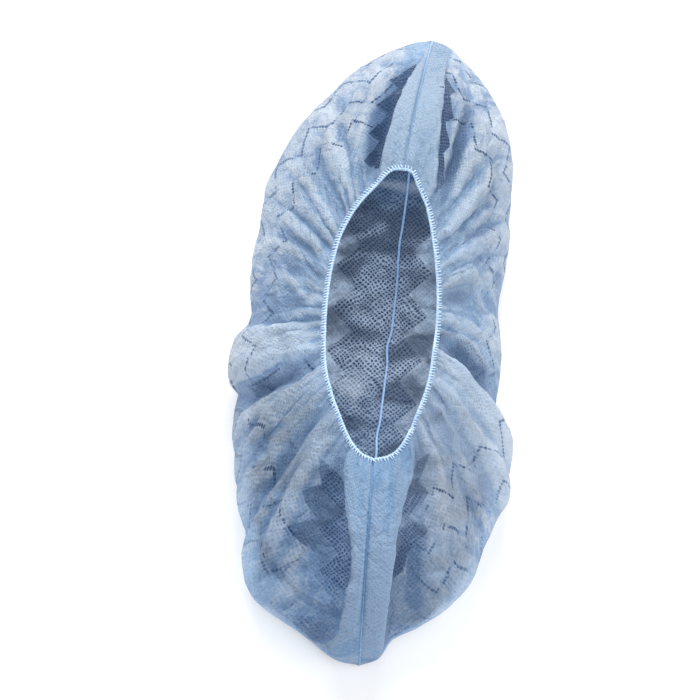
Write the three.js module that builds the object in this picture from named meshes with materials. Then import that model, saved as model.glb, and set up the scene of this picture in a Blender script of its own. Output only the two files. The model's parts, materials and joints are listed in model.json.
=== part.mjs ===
// A disposable overshoe of thin blue spunbond cloth, standing open on its sole.
// Millimetres, +X to the right, +Y to the toe, +Z up, the origin on the floor under the middle.
import * as THREE from 'three';

// Length and width that the outline is drawn in, and height of the standing cover.
const LENGTH = 401;
const WIDTH = 177;
const HEIGHT = 80;

// Cloth.
const WALL = 1.2;
const CLEARANCE = 0.3;

// Opening.
const OPENING_LENGTH = 181;
const OPENING_WIDTH = 65.6;
const ELASTIC_DIAMETER = 2.8;

// Seam along the middle of the sole.
const SEAM_WIDTH = 2.4;
const SEAM_HEIGHT = 1.6;

// Tread under the sole.
const TREAD_THICKNESS = 0.8;
const TREAD_PITCH = 28;
const TREAD_SWING = 13;

// Gathers that the elastic pulls into the cloth.
const GATHER_DEPTH = 1.5;
const GATHER_COUNT = 15;

// Height of the flat box pleats that run out from both ends of the opening.
const PLEAT_RISE = 3.2;

// Fineness of the cloth, in cells along the rim and cells across.
const COLUMNS = 64;

const HALF_LENGTH = LENGTH / 2;
const HALF_WIDTH = WIDTH / 2;
const SOLE_Z = TREAD_THICKNESS + CLEARANCE;
const RIM_Z = HEIGHT - PLEAT_RISE;

// Outline seen from above, toe to heel. Shares of HALF_WIDTH and HALF_LENGTH for each side.
const OUTLINE = [
  { turn: 0.00, leftX: 0.15, leftY: 0.985, rightX: 0.15, rightY: 0.985 },
  { turn: 0.03, leftX: 0.04, leftY: 0.978, rightX: 0.24, rightY: 0.974 },
  { turn: 0.06, leftX: -0.10, leftY: 0.948, rightX: 0.33, rightY: 0.946 },
  { turn: 0.12, leftX: -0.36, leftY: 0.862, rightX: 0.51, rightY: 0.876 },
  { turn: 0.18, leftX: -0.56, leftY: 0.750, rightX: 0.67, rightY: 0.770 },
  { turn: 0.24, leftX: -0.73, leftY: 0.630, rightX: 0.765, rightY: 0.640 },
  { turn: 0.30, leftX: -0.845, leftY: 0.490, rightX: 0.795, rightY: 0.500 },
  { turn: 0.36, leftX: -0.875, leftY: 0.345, rightX: 0.810, rightY: 0.355 },
  { turn: 0.42, leftX: -0.880, leftY: 0.200, rightX: 0.795, rightY: 0.205 },
  { turn: 0.48, leftX: -0.865, leftY: 0.050, rightX: 0.825, rightY: 0.050 },
  { turn: 0.53, leftX: -0.885, leftY: -0.080, rightX: 0.855, rightY: -0.080 },
  { turn: 0.58, leftX: -0.895, leftY: -0.200, rightX: 0.885, rightY: -0.210 },
  { turn: 0.64, leftX: -0.870, leftY: -0.340, rightX: 0.935, rightY: -0.350 },
  { turn: 0.70, leftX: -0.800, leftY: -0.490, rightX: 0.915, rightY: -0.490 },
  { turn: 0.76, leftX: -0.725, leftY: -0.620, rightX: 0.855, rightY: -0.630 },
  { turn: 0.82, leftX: -0.690, leftY: -0.722, rightX: 0.765, rightY: -0.725 },
  { turn: 0.87, leftX: -0.640, leftY: -0.800, rightX: 0.620, rightY: -0.800 },
  { turn: 0.90, leftX: -0.530, leftY: -0.838, rightX: 0.510, rightY: -0.840 },
  { turn: 0.935, leftX: -0.290, leftY: -0.895, rightX: 0.350, rightY: -0.885 },
  { turn: 0.97, leftX: -0.040, leftY: -0.960, rightX: 0.270, rightY: -0.945 },
  { turn: 1.00, leftX: 0.14, leftY: -0.965, rightX: 0.14, rightY: -0.965 },
];

// Rim of the opening seen from above. Shares of half OPENING_WIDTH, half OPENING_LENGTH and RIM_Z.
const RIM = [
  { turn: 0.00, leftX: 0.17, leftY: 1.000, rightX: 0.17, rightY: 1.000, up: 0.985 },
  { turn: 0.025, leftX: -0.05, leftY: 0.980, rightX: 0.35, rightY: 0.982, up: 0.987 },
  { turn: 0.07, leftX: -0.24, leftY: 0.885, rightX: 0.47, rightY: 0.895, up: 0.990 },
  { turn: 0.15, leftX: -0.53, leftY: 0.730, rightX: 0.68, rightY: 0.740, up: 0.995 },
  { turn: 0.25, leftX: -0.77, leftY: 0.520, rightX: 0.85, rightY: 0.520, up: 0.990 },
  { turn: 0.36, leftX: -0.870, leftY: 0.280, rightX: 0.98, rightY: 0.290, up: 0.975 },
  { turn: 0.47, leftX: -0.880, leftY: 0.050, rightX: 1.05, rightY: 0.050, up: 0.965 },
  { turn: 0.58, leftX: -0.840, leftY: -0.190, rightX: 1.06, rightY: -0.190, up: 0.965 },
  { turn: 0.69, leftX: -0.74, leftY: -0.430, rightX: 1.04, rightY: -0.430, up: 0.975 },
  { turn: 0.80, leftX: -0.50, leftY: -0.660, rightX: 0.90, rightY: -0.670, up: 0.990 },
  { turn: 0.91, leftX: -0.18, leftY: -0.880, rightX: 0.74, rightY: -0.870, up: 1.000 },
  { turn: 0.96, leftX: 0.00, leftY: -0.962, rightX: 0.56, rightY: -0.958, up: 1.000 },
  { turn: 1.00, leftX: 0.25, leftY: -1.000, rightX: 0.25, rightY: -1.000, up: 1.000 },
];

// Path of the cloth from the rim over the shoulder and under to the centre line of the sole.
// out is the share of the way from rim to outline, in the share of the way from outline to the
// centre line, up the share of RIM_Z above the sole.
const PROFILE = [
  { name: 'rim', out: 0.00, in: 0, up: 1.00, upEnd: 1.00 },
  { name: 'gathers', out: 0.07, in: 0, up: 1.00, upEnd: 1.01 },
  { name: 'collar', out: 0.17, in: 0, up: 0.985, upEnd: 1.00 },
  { name: 'dome', out: 0.29, in: 0, up: 0.945, upEnd: 0.975 },
  { name: 'high shoulder', out: 0.42, in: 0, up: 0.885, upEnd: 0.925 },
  { name: 'shoulder', out: 0.56, in: 0, up: 0.80, upEnd: 0.85 },
  { name: 'low shoulder', out: 0.70, in: 0, up: 0.69, upEnd: 0.745 },
  { name: 'flank', out: 0.83, in: 0, up: 0.565, upEnd: 0.62 },
  { name: 'low flank', out: 0.935, in: 0, up: 0.44, upEnd: 0.49 },
  { name: 'outline', out: 1.00, in: 0, up: 0.31, upEnd: 0.35 },
  { name: 'tuck', out: 1.00, in: 0.012, up: 0.19, upEnd: 0.22 },
  { name: 'low tuck', out: 1.00, in: 0.045, up: 0.09, upEnd: 0.11 },
  { name: 'floor edge', out: 1.00, in: 0.105, up: 0.022, upEnd: 0.03 },
  { name: 'sole edge', out: 1.00, in: 0.17, up: 0, upEnd: 0 },
  { name: 'sole', out: 1.00, in: 0.36, up: 0, upEnd: 0 },
  { name: 'mid sole', out: 1.00, in: 0.60, up: 0, upEnd: 0 },
  { name: 'inner sole', out: 1.00, in: 0.82, up: 0, upEnd: 0 },
  { name: 'centre line', out: 1.00, in: 1.00, up: 0, upEnd: 0 },
];

// Broad folds and creases. at and drift give the turn at the rim and how far it moves by the
// outline, before and after its half widths towards the toe and the heel at the rim, spread their
// scale at the outline, flat the share of the width that is level, from and to the reach in out,
// lift the height as a share of PLEAT_RISE, which is negative for a crease.
const FOLDS = [
  {
    name: 'toe pleat left', side: -1, at: 0.000, drift: 0.000,
    before: 0.078, after: 0.078, spread: 0.12, flat: 0.72,
    from: -0.20, to: 1.05, lift: 1.00,
  },
  {
    name: 'toe pleat right', side: 1, at: 0.000, drift: 0.000,
    before: 0.168, after: 0.168, spread: 0.46, flat: 0.82,
    from: -0.20, to: 1.05, lift: 1.00,
  },
  {
    name: 'toe crest left', side: -1, at: 0.000, drift: 0.000,
    before: 0.070, after: 0.070, spread: 0.15, flat: 0.50,
    from: 0.05, to: 0.80, lift: 0.70,
  },
  {
    name: 'toe crest right', side: 1, at: 0.000, drift: 0.000,
    before: 0.150, after: 0.150, spread: 0.46, flat: 0.60,
    from: 0.05, to: 0.80, lift: 0.70,
  },
  {
    name: 'toe valley left', side: -1, at: 0.112, drift: -0.085,
    before: 0.038, after: 0.060, spread: 0.75, flat: 0.00,
    from: 0.00, to: 0.90, lift: -1.70,
  },
  {
    name: 'toe valley right', side: 1, at: 0.200, drift: -0.100,
    before: 0.038, after: 0.055, spread: 0.75, flat: 0.00,
    from: 0.00, to: 0.90, lift: -1.70,
  },
  {
    name: 'toe ridge left', side: -1, at: 0.180, drift: 0.012,
    before: 0.028, after: 0.035, spread: 1.10, flat: 0.00,
    from: -0.10, to: 0.85, lift: 1.00,
  },
  {
    name: 'side ridge left', side: -1, at: 0.272, drift: -0.006,
    before: 0.028, after: 0.035, spread: 1.10, flat: 0.00,
    from: -0.10, to: 0.80, lift: 0.80,
  },
  {
    name: 'flank crease left', side: -1, at: 0.405, drift: 0.010,
    before: 0.040, after: 0.040, spread: 1.20, flat: 0.00,
    from: -0.10, to: 0.90, lift: -0.80,
  },
  {
    name: 'waist bulge left', side: -1, at: 0.597, drift: -0.048,
    before: 0.050, after: 0.030, spread: 1.10, flat: 0.10,
    from: 0.00, to: 1.30, lift: 2.20,
  },
  {
    name: 'waist crease left', side: -1, at: 0.645, drift: -0.060,
    before: 0.030, after: 0.045, spread: 1.00, flat: 0.00,
    from: -0.10, to: 1.20, lift: -1.90,
  },
  {
    name: 'low ridge left', side: -1, at: 0.700, drift: -0.070,
    before: 0.036, after: 0.070, spread: 1.00, flat: 0.00,
    from: -0.10, to: 1.00, lift: 0.90,
  },
  {
    name: 'heel ridge left', side: -1, at: 0.828, drift: 0.055,
    before: 0.046, after: 0.036, spread: 0.90, flat: 0.00,
    from: -0.10, to: 0.95, lift: 1.50,
  },
  {
    name: 'heel valley left', side: -1, at: 0.900, drift: 0.072,
    before: 0.045, after: 0.030, spread: 0.70, flat: 0.00,
    from: 0.00, to: 1.00, lift: -1.90,
  },
  {
    name: 'heel pleat left', side: -1, at: 1.000, drift: 0.000,
    before: 0.078, after: 0.078, spread: 0.12, flat: 0.70,
    from: -0.20, to: 1.15, lift: 1.00,
  },
  {
    name: 'heel crest left', side: -1, at: 1.000, drift: 0.000,
    before: 0.070, after: 0.070, spread: 0.15, flat: 0.50,
    from: 0.05, to: 0.90, lift: 0.70,
  },
  {
    name: 'toe ridge right', side: 1, at: 0.282, drift: -0.045,
    before: 0.032, after: 0.035, spread: 1.10, flat: 0.00,
    from: -0.10, to: 0.85, lift: 1.00,
  },
  {
    name: 'side ridge right', side: 1, at: 0.345, drift: -0.030,
    before: 0.030, after: 0.030, spread: 1.10, flat: 0.00,
    from: -0.10, to: 0.75, lift: 0.70,
  },
  {
    name: 'flank crease right', side: 1, at: 0.440, drift: 0.010,
    before: 0.040, after: 0.040, spread: 1.10, flat: 0.00,
    from: -0.10, to: 0.85, lift: -0.70,
  },
  {
    name: 'waist crease right', side: 1, at: 0.552, drift: 0.015,
    before: 0.070, after: 0.028, spread: 1.00, flat: 0.00,
    from: -0.10, to: 1.15, lift: -1.90,
  },
  {
    name: 'waist ridge right', side: 1, at: 0.598, drift: 0.020,
    before: 0.026, after: 0.095, spread: 1.00, flat: 0.05,
    from: 0.00, to: 1.30, lift: 2.20,
  },
  {
    name: 'low ridge right', side: 1, at: 0.700, drift: 0.000,
    before: 0.035, after: 0.040, spread: 1.00, flat: 0.00,
    from: -0.10, to: 0.75, lift: 0.70,
  },
  {
    name: 'heel ridge right', side: 1, at: 0.795, drift: 0.060,
    before: 0.048, after: 0.036, spread: 0.90, flat: 0.00,
    from: -0.10, to: 0.90, lift: 1.40,
  },
  {
    name: 'heel valley right', side: 1, at: 0.850, drift: 0.068,
    before: 0.040, after: 0.030, spread: 0.80, flat: 0.00,
    from: 0.00, to: 1.00, lift: -1.90,
  },
  {
    name: 'heel pleat right', side: 1, at: 1.000, drift: 0.000,
    before: 0.128, after: 0.128, spread: 0.50, flat: 0.78,
    from: -0.20, to: 1.15, lift: 1.00,
  },
  {
    name: 'heel crest right', side: 1, at: 1.000, drift: 0.000,
    before: 0.110, after: 0.110, spread: 0.50, flat: 0.60,
    from: 0.05, to: 0.90, lift: 0.70,
  },
];

// Tread strips: distance of the middle of each from the centre line and its width, in shares of
// the half width of the sole, and its half length in shares of HALF_LENGTH.
const TREADS = [
  { name: 'inner', middle: 0.46, width: 0.29, reach: 0.74 },
  { name: 'outer', middle: 0.765, width: 0.24, reach: 0.56 },
];

const clamp = (value, low, high) => Math.min(high, Math.max(low, value));

const smooth = (value) => {
  const v = clamp(value, 0, 1);
  return v * v * (3 - 2 * v);
};

// Smooth curve through the rows of a table, read at one value of its first column.
function readTable(rows, key, column, at) {
  let i = 0;
  while (i < rows.length - 2 && rows[i + 1][key] < at) {
    i += 1;
  }
  const a = rows[i];
  const b = rows[i + 1];
  const before = rows[Math.max(0, i - 1)];
  const after = rows[Math.min(rows.length - 1, i + 2)];
  const span = b[key] - a[key];
  const s = clamp((at - a[key]) / span, 0, 1);
  const slopeA = i === 0
    ? (b[column] - a[column]) / span
    : (b[column] - before[column]) / (b[key] - before[key]);
  const slopeB = i === rows.length - 2
    ? (b[column] - a[column]) / span
    : (after[column] - a[column]) / (after[key] - a[key]);
  const s2 = s * s;
  const s3 = s2 * s;
  return (2 * s3 - 3 * s2 + 1) * a[column]
    + (s3 - 2 * s2 + s) * span * slopeA
    + (-2 * s3 + 3 * s2) * b[column]
    + (s3 - s2) * span * slopeB;
}

// A bump with soft sides, 1 in the level middle and 0 outside its width.
function bump(distance, width, flat) {
  return smooth((1 - Math.abs(distance) / width) / (1 - flat));
}

// Height of the folds and gathers along the cloth's outward direction.
function relief(side, turn, out, inward) {
  const reach = out + inward * 4;
  let lift = 0;
  for (const fold of FOLDS) {
    if (fold.side !== 0 && fold.side !== side) {
      continue;
    }
    const middle = fold.at + fold.drift * out;
    const rise = smooth((reach - fold.from) / 0.35);
    const fall = smooth((fold.to - reach) / 0.45);
    const scale = 1 + (fold.spread - 1) * Math.min(1, out);
    const width = scale * (turn < middle ? fold.before : fold.after);
    lift += PLEAT_RISE * fold.lift * bump(turn - middle, width, fold.flat) * rise * fall;
  }
  const fade = Math.exp(-reach / 0.16);
  const ripple = Math.cos(2 * Math.PI * GATHER_COUNT * turn);
  return lift + GATHER_DEPTH * fade * ripple;
}

// Point on the outer face before folds. turn runs 0 at the toe to 1 at the heel.
function plainPoint(side, turn, ring) {
  const sideX = side < 0 ? 'leftX' : 'rightX';
  const sideY = side < 0 ? 'leftY' : 'rightY';
  const rimX = readTable(RIM, 'turn', sideX, turn) * OPENING_WIDTH / 2;
  const rimY = readTable(RIM, 'turn', sideY, turn) * OPENING_LENGTH / 2;
  const outX = readTable(OUTLINE, 'turn', sideX, turn) * HALF_WIDTH;
  const outY = readTable(OUTLINE, 'turn', sideY, turn) * HALF_LENGTH;
  const lineX = 0.08 * HALF_WIDTH;
  const lineY = 0.90 * HALF_LENGTH * (1 - 2 * turn);
  const x = rimX + (outX - rimX) * ring.out;
  const y = rimY + (outY - rimY) * ring.out;
  const rimUp = readTable(RIM, 'turn', 'up', turn);
  const endShare = Math.abs(2 * turn - 1) ** 2;
  const up = ring.up + (ring.upEnd - ring.up) * endShare;
  const level = 1 + (rimUp - 1) * (1 - ring.out);
  return new THREE.Vector3(
    x + (lineX - x) * ring.in,
    y + (lineY - y) * ring.in,
    SOLE_Z + (RIM_Z - SOLE_Z) * up * level,
  );
}

// Outward direction from the neighbours on a grid of points. At the seams it stays in the plane of
// the seam, and on the sole it is straight down.
function outward(grid, i, j, side) {
  const last = grid.length - 1;
  const end = grid[0].length - 1;
  const a = grid[Math.max(0, i - 1)][j];
  const b = grid[Math.min(last, i + 1)][j];
  const c = grid[i][Math.max(0, j - 1)];
  const d = grid[i][Math.min(end, j + 1)];
  const along = b.clone().sub(a);
  const down = d.clone().sub(c);
  if (i === 0 || i === last) {
    const sign = i === 0 ? 1 : -1;
    down.x = 0;
    return new THREE.Vector3(0, -down.z * sign, down.y * sign).normalize();
  }
  const n = along.cross(down).normalize();
  return side < 0 ? n.negate() : n;
}

// Outer face of one panel as a grid of points, columns from toe to heel, rows from rim to sole.
function outerFace(side) {
  const plain = [];
  for (let i = 0; i <= COLUMNS; i += 1) {
    const turn = i / COLUMNS;
    plain.push(PROFILE.map((ring) => plainPoint(side, turn, ring)));
  }
  const last = PROFILE.length - 1;
  const edge = side * CLEARANCE / 2;
  return plain.map((column, i) => column.map((point, j) => {
    const ring = PROFILE[j];
    const n = outward(plain, i, j, side);
    const lift = relief(side, i / COLUMNS, ring.out, ring.in);
    const flat = ring.up > 0 ? 1 : 0;
    const moved = point.clone().addScaledVector(n, lift * flat);
    moved.z = Math.max(moved.z, SOLE_Z);
    if (i === 0 || i === COLUMNS || j === last) {
      moved.x = point.x + edge;
    }
    return moved;
  }));
}

// Closed body between a grid of points and the same grid moved inward by the wall.
function wallBody(outer, side) {
  const columns = outer.length;
  const rows = outer[0].length;
  const inner = outer.map((column, i) => column.map((point, j) => {
    const n = outward(outer, i, j, side);
    if (j >= rows - 5) {
      n.set(0, 0, -1);
    }
    const p = point.clone().addScaledVector(n, -WALL);
    if (i === 0 || i === columns - 1 || j === rows - 1) {
      p.x = point.x;
    }
    return p;
  }));
  const positions = [];
  for (const face of [outer, inner]) {
    for (const column of face) {
      for (const p of column) {
        positions.push(p.x, p.y, p.z);
      }
    }
  }
  const index = [];
  const id = (face, i, j) => face * columns * rows + i * rows + j;
  const quad = (a, b, c, d) => {
    if (side > 0) {
      index.push(a, b, c, a, c, d);
    } else {
      index.push(a, c, b, a, d, c);
    }
  };
  for (let i = 0; i < columns - 1; i += 1) {
    for (let j = 0; j < rows - 1; j += 1) {
      quad(id(0, i, j), id(0, i + 1, j), id(0, i + 1, j + 1), id(0, i, j + 1));
      quad(id(1, i, j), id(1, i, j + 1), id(1, i + 1, j + 1), id(1, i + 1, j));
    }
    quad(id(0, i, 0), id(1, i, 0), id(1, i + 1, 0), id(0, i + 1, 0));
    quad(id(0, i, rows - 1), id(0, i + 1, rows - 1), id(1, i + 1, rows - 1), id(1, i, rows - 1));
  }
  for (let j = 0; j < rows - 1; j += 1) {
    quad(id(0, 0, j), id(0, 0, j + 1), id(1, 0, j + 1), id(1, 0, j));
    const e = columns - 1;
    quad(id(0, e, j), id(1, e, j), id(1, e, j + 1), id(0, e, j + 1));
  }
  const geometry = new THREE.BufferGeometry();
  geometry.setAttribute('position', new THREE.Float32BufferAttribute(positions, 3));
  geometry.setIndex(index);
  geometry.computeVertexNormals();
  return geometry;
}

function named(name, geometry, color, roughness) {
  const material = new THREE.MeshStandardMaterial({ color, roughness, metalness: 0 });
  const mesh = new THREE.Mesh(geometry, material);
  mesh.name = name;
  return mesh;
}

// Extruded body from points on the floor plane, from one height to another.
function slab(points, low, high) {
  const shape = new THREE.Shape(points.map((p) => new THREE.Vector2(p[0], p[1])));
  const geometry = new THREE.ExtrudeGeometry(shape, { depth: high - low, bevelEnabled: false });
  geometry.translate(0, 0, low);
  return geometry;
}

// Ring of elastic that follows the rim, closed on itself.
function elastic(leftFace, rightFace) {
  const ringPoints = [];
  const radius = ELASTIC_DIAMETER / 2;
  const off = radius + CLEARANCE + 0.35 * GATHER_DEPTH + 1.6;
  const take = (face, i) => {
    const rim = face[i][0];
    const next = face[i][3];
    const away = rim.clone().sub(next).setZ(0).normalize();
    const z = RIM_Z * readTable(RIM, 'turn', 'up', i / COLUMNS) - WALL / 2;
    const corner = 1 + 0.6 * Math.max(0, 1 - Math.min(i, COLUMNS - i) / 4);
    return rim.clone().addScaledVector(away, off * corner).setZ(z);
  };
  const step = 1;
  for (let i = 0; i < COLUMNS; i += step) {
    ringPoints.push(take(rightFace, i));
  }
  for (let i = COLUMNS; i > 0; i -= step) {
    ringPoints.push(take(leftFace, i));
  }
  const path = new THREE.CatmullRomCurve3(ringPoints, true, 'centripetal');
  return new THREE.TubeGeometry(path, 84, radius, 7, true);
}

// Half width of the flat sole at one distance along it, on one side.
function soleReach(face, y, side) {
  const row = PROFILE.findIndex((ring) => ring.name === 'sole edge');
  for (let i = 1; i < face.length; i += 1) {
    const a = face[i - 1][row];
    const b = face[i][row];
    if (a.y >= y && b.y <= y) {
      const s = (a.y - y) / (a.y - b.y);
      return (a.x + (b.x - a.x) * s) * side;
    }
  }
  return 0;
}

// Zigzag strip of coating under the sole.
function tread(face, side, row) {
  const line = 0.08 * HALF_WIDTH;
  const reach = soleReach(face, 0, side) - line * side;
  const middle = row.middle * reach;
  const half = row.width * reach / 2;
  const limit = row.reach * HALF_LENGTH;
  const steps = 2 * Math.floor(limit / TREAD_PITCH);
  const inner = [];
  const outer = [];
  for (let k = -steps; k <= steps; k += 1) {
    const y = k * TREAD_PITCH / 2;
    const swing = (k % 2 === 0 ? 1 : -1) * TREAD_SWING / 2;
    inner.push([line + side * (middle - half + swing), y]);
    outer.push([line + side * (middle + half + swing), y]);
  }
  const points = inner.concat(outer.reverse());
  if (side < 0) {
    points.reverse();
  }
  return slab(points, 0, TREAD_THICKNESS);
}

function build() {
  const part = new THREE.Group();
  part.name = 'shoe_cover';
  const left = outerFace(-1);
  const right = outerFace(1);
  part.add(named('left_panel', wallBody(left, -1), 0xa9cbe8, 0.8));
  part.add(named('right_panel', wallBody(right, 1), 0xa9cbe8, 0.8));
  part.add(named('elastic_edging', elastic(left, right), 0xe8f0f8, 0.9));

  const line = 0.08 * HALF_WIDTH;
  const seamEnd = 0.84 * HALF_LENGTH;
  const seam = new THREE.BoxGeometry(SEAM_WIDTH, 2 * seamEnd, SEAM_HEIGHT);
  seam.translate(line, 0, SOLE_Z + WALL + CLEARANCE + SEAM_HEIGHT / 2);
  part.add(named('centre_seam', seam, 0x9cc3e6, 0.8));

  for (const [word, side, face] of [['left', -1, left], ['right', 1, right]]) {
    for (const row of TREADS) {
      part.add(named(`tread_${word}_${row.name}`, tread(face, side, row), 0xe6eef6, 0.6));
    }
  }

  // The origin goes under the middle of the whole part.
  part.updateMatrixWorld(true);
  const middle = new THREE.Box3().setFromObject(part).getCenter(new THREE.Vector3());
  part.children.forEach((mesh) => mesh.geometry.translate(-middle.x, -middle.y, 0));
  return part;
}

export default build();
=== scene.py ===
import bpy
import json
import math
import numpy as np
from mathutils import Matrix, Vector
from types import SimpleNamespace

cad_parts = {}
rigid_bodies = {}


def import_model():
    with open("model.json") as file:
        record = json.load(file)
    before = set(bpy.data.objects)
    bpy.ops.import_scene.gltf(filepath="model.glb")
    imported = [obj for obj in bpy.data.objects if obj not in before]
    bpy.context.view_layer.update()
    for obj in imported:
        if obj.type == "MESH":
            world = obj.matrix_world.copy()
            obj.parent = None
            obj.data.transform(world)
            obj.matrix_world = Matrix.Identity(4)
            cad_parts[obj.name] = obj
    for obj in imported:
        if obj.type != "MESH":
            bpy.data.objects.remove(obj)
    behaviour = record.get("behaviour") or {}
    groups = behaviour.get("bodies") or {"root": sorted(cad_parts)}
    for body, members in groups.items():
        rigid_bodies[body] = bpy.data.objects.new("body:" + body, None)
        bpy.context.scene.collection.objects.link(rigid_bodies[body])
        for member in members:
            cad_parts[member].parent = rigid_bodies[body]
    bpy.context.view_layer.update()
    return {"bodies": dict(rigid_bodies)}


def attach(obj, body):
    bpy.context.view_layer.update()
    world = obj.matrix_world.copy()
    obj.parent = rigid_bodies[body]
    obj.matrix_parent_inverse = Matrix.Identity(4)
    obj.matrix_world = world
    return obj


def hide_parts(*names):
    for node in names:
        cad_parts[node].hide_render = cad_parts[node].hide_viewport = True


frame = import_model()
ROOT = list(frame["bodies"])[0]

# Sizes in mm, as in the part's source. SHIFT moves its origin under the middle of the box.
LENGTH = 401.0
WIDTH = 177.0
HEIGHT = 80.0
OPENING_LENGTH = 181.0
OPENING_WIDTH = 65.6
PLEAT_RISE = 3.2
HALF_LENGTH = LENGTH / 2
HALF_WIDTH = WIDTH / 2
SOLE_Z = 1.1
RIM_Z = HEIGHT - PLEAT_RISE
SHIFT = (-1.72, -1.66)
LINE_X = 0.08 * HALF_WIDTH
LINE_HALF = 0.90 * HALF_LENGTH

# The cloth: cells along half the rim, and half the flat sheet's length and width.
COLUMNS = 320
FLAT_LONG = 200.0
FLAT_WIDE = 170.0
MM_PER_UV = 100.0
# The flat sheet's coordinates are worked out on every eighth column, in many small steps.
COARSE = 8
RELAX_ROUNDS = 900
RELAX_SHARE = 0.95

# The embossed points, the bands of coating, and the teeth beside the strips.
POINT_PITCH = 2.1
TREAD_PITCH = 28.0
TREAD_SWING = 13.0
COAT_START = 22.0
BAND_WIDTH = 20.75
TOE_END = (-189.0, -187.0)
TOOTH = 0.10

# Elastic, thread and seams.
CORE_RADIUS = 0.85
THREAD_RADIUS = 0.38
THREAD_REACH = 1.4
STITCH_PITCH = 1.7
STITCH_STEPS = 12
SOLE_SEAM_RADIUS = 0.7
END_SEAM_RADIUS = 0.3

# Tread films: lower and upper face, step along and columns across.
FILM_LOW = 0.05
FILM_TOP = 0.8
FILM_STEP = 1.75
FILM_COLUMNS = 7
# name, side, inner, outer, half length
TREADS = (
    ("tread_left_inner", -1, 22.0, 42.2, 140),
    ("tread_left_outer", -1, 45.0, 61.8, 112),
    ("tread_right_inner", 1, 17.5, 33.6, 140),
    ("tread_right_outer", 1, 35.9, 49.1, 112),
)

# The camera: angles in degrees, distance and the point that it looks at in metres.
AZIMUTH = 6.5
ELEVATION = 70
DISTANCE = 2.333
AIM_RIGHT = -0.0154
AIM_UP = 0.0041

# turn, leftX, leftY, rightX, rightY
OUTLINE = np.array([
    (0.00, 0.15, 0.985, 0.15, 0.985),
    (0.03, 0.04, 0.978, 0.24, 0.974),
    (0.06, -0.10, 0.948, 0.33, 0.946),
    (0.12, -0.36, 0.862, 0.51, 0.876),
    (0.18, -0.56, 0.750, 0.67, 0.770),
    (0.24, -0.73, 0.630, 0.765, 0.640),
    (0.30, -0.845, 0.490, 0.795, 0.500),
    (0.36, -0.875, 0.345, 0.810, 0.355),
    (0.42, -0.880, 0.200, 0.795, 0.205),
    (0.48, -0.865, 0.050, 0.825, 0.050),
    (0.53, -0.885, -0.080, 0.855, -0.080),
    (0.58, -0.895, -0.200, 0.885, -0.210),
    (0.64, -0.870, -0.340, 0.935, -0.350),
    (0.70, -0.800, -0.490, 0.915, -0.490),
    (0.76, -0.725, -0.620, 0.855, -0.630),
    (0.82, -0.690, -0.722, 0.765, -0.725),
    (0.87, -0.640, -0.800, 0.620, -0.800),
    (0.90, -0.530, -0.838, 0.510, -0.840),
    (0.935, -0.290, -0.895, 0.350, -0.885),
    (0.97, -0.040, -0.960, 0.270, -0.945),
    (1.00, 0.14, -0.965, 0.14, -0.965),
])

# turn, leftX, leftY, rightX, rightY, up
RIM = np.array([
    (0.00, 0.17, 1.000, 0.17, 1.000, 0.985),
    (0.025, -0.05, 0.980, 0.35, 0.982, 0.987),
    (0.07, -0.24, 0.885, 0.47, 0.895, 0.990),
    (0.15, -0.53, 0.730, 0.68, 0.740, 0.995),
    (0.25, -0.77, 0.520, 0.85, 0.520, 0.990),
    (0.36, -0.870, 0.280, 0.98, 0.290, 0.975),
    (0.47, -0.880, 0.050, 1.05, 0.050, 0.965),
    (0.58, -0.840, -0.190, 1.06, -0.190, 0.965),
    (0.69, -0.74, -0.430, 1.04, -0.430, 0.975),
    (0.80, -0.50, -0.660, 0.90, -0.670, 0.990),
    (0.91, -0.18, -0.880, 0.74, -0.870, 1.000),
    (0.96, 0.00, -0.962, 0.56, -0.958, 1.000),
    (1.00, 0.25, -1.000, 0.25, -1.000, 1.000),
])

# out, in, up, upEnd from the rim to the centre line of the sole
PROFILE = np.array([
    (0.00, 0.0, 1.00, 1.00),
    (0.07, 0.0, 1.00, 1.01),
    (0.17, 0.0, 0.985, 1.00),
    (0.29, 0.0, 0.945, 0.975),
    (0.42, 0.0, 0.885, 0.925),
    (0.56, 0.0, 0.80, 0.85),
    (0.70, 0.0, 0.69, 0.745),
    (0.83, 0.0, 0.565, 0.62),
    (0.935, 0.0, 0.44, 0.49),
    (1.00, 0.0, 0.31, 0.35),
    (1.00, 0.012, 0.19, 0.22),
    (1.00, 0.045, 0.09, 0.11),
    (1.00, 0.105, 0.022, 0.03),
    (1.00, 0.17, 0.0, 0.0),
    (1.00, 0.36, 0.0, 0.0),
    (1.00, 0.60, 0.0, 0.0),
    (1.00, 0.82, 0.0, 0.0),
    (1.00, 1.00, 0.0, 0.0),
])
# The profile's rows where the sole's edge begins and where the flat sole begins.
EDGE_ROW = 11
SOLE_ROW = 13

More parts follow.
